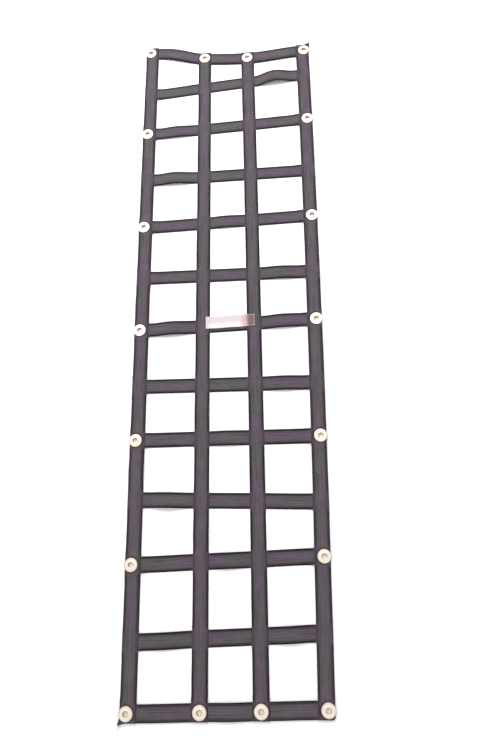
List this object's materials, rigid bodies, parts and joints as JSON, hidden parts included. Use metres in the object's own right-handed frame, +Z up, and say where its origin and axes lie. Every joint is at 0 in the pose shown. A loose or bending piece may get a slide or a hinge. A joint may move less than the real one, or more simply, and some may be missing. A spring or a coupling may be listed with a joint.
{
  "type": "cargo climbing net",
  "caption": "Flat climbing net of dark sewn webbing, with lengthwise straps over cross straps and brass grommets along its border, laid out on the ground.",
  "frame": {"origin": "middle of the bottom of the laid-out net's box, on the ground", "axes": "+X across the net, +Y along it to the head, +Z up from the ground"},
  "size_m": [0.674, 2.4892, 0.024],
  "materials": {
    "webbing": "woven, matte",
    "grommet_brass": "satin",
    "label_ribbon": "woven, matte"
  },
  "bodies": {
    "row_01": {"rung_01": "webbing", "uprights_01": "webbing", "border_backing_01": "webbing", "eyelets_01": "grommet_brass", "washers_01": "grommet_brass", "head_backing": "webbing"},
    "row_02": {"rung_02": "webbing", "uprights_02": "webbing", "border_backing_02": "webbing"},
    "row_03": {"rung_03": "webbing", "uprights_03": "webbing", "border_backing_03": "webbing", "eyelets_03": "grommet_brass", "washers_03": "grommet_brass"},
    "row_04": {"rung_04": "webbing", "uprights_04": "webbing", "border_backing_04": "webbing"},
    "row_05": {"rung_05": "webbing", "uprights_05": "webbing", "border_backing_05": "webbing", "eyelets_05": "grommet_brass", "washers_05": "grommet_brass"},
    "row_06": {"rung_06": "webbing", "uprights_06": "webbing", "border_backing_06": "webbing"},
    "row_07": {"rung_07": "webbing", "uprights_07": "webbing", "border_backing_07": "webbing", "eyelets_07": "grommet_brass", "washers_07": "grommet_brass", "label": "label_ribbon"},
    "row_08": {"rung_08": "webbing", "uprights_08": "webbing", "border_backing_08": "webbing"},
    "row_09": {"rung_09": "webbing", "uprights_09": "webbing", "border_backing_09": "webbing", "eyelets_09": "grommet_brass", "washers_09": "grommet_brass"},
    "row_10": {"rung_10": "webbing", "uprights_10": "webbing", "border_backing_10": "webbing"},
    "row_11": {"rung_11": "webbing", "uprights_11": "webbing", "border_backing_11": "webbing", "eyelets_11": "grommet_brass", "washers_11": "grommet_brass"},
    "row_12": {"rung_12": "webbing", "uprights_12": "webbing", "border_backing_12": "webbing"},
    "row_13": {"rung_13": "webbing", "uprights_13": "webbing", "border_backing_13": "webbing", "eyelets_13": "grommet_brass", "washers_13": "grommet_brass", "foot_backing": "webbing"}
  },
  "joints": [
    {"name": "fold_over_bay_06", "type": "hinge", "parent": "row_07", "child": "row_06", "pos_m": [0, 0.1116, 0.0048], "axis": [1, 0, 0], "range_deg": [0, 150]},
    {"name": "fold_under_bay_05", "type": "hinge", "parent": "row_06", "child": "row_05", "pos_m": [0, 0.3123, 0.0048], "axis": [-1, 0, 0], "range_deg": [0, 150]},
    {"name": "fold_over_bay_04", "type": "hinge", "parent": "row_05", "child": "row_04", "pos_m": [0, 0.523, 0.0048], "axis": [1, 0, 0], "range_deg": [0, 150]},
    {"name": "fold_under_bay_03", "type": "hinge", "parent": "row_04", "child": "row_03", "pos_m": [0, 0.7237, 0.0048], "axis": [-1, 0, 0], "range_deg": [0, 150]},
    {"name": "fold_over_bay_02", "type": "hinge", "parent": "row_03", "child": "row_02", "pos_m": [0, 0.9319, 0.0048], "axis": [1, 0, 0], "range_deg": [0, 150]},
    {"name": "fold_under_bay_01", "type": "hinge", "parent": "row_02", "child": "row_01", "pos_m": [0, 1.10748, 0.0048], "axis": [-1, 0, 0], "range_deg": [0, 150]},
    {"name": "fold_over_bay_07", "type": "hinge", "parent": "row_07", "child": "row_08", "pos_m": [0, -0.0991, 0.0048], "axis": [-1, 0, 0], "range_deg": [0, 90]},
    {"name": "fold_under_bay_08", "type": "hinge", "parent": "row_08", "child": "row_09", "pos_m": [0, -0.2998, 0.0048], "axis": [1, 0, 0], "range_deg": [0, 150]},
    {"name": "fold_over_bay_09", "type": "hinge", "parent": "row_09", "child": "row_10", "pos_m": [0, -0.4905, 0.0048], "axis": [-1, 0, 0], "range_deg": [0, 150]},
    {"name": "fold_under_bay_10", "type": "hinge", "parent": "row_10", "child": "row_11", "pos_m": [0, -0.6887, 0.0048], "axis": [1, 0, 0], "range_deg": [0, 150]},
    {"name": "fold_over_bay_11", "type": "hinge", "parent": "row_11", "child": "row_12", "pos_m": [0, -0.8944, 0.0048], "axis": [-1, 0, 0], "range_deg": [0, 150]},
    {"name": "fold_under_bay_12", "type": "hinge", "parent": "row_12", "child": "row_13", "pos_m": [0, -1.1126, 0.0048], "axis": [1, 0, 0], "range_deg": [0, 150]}
  ]
}
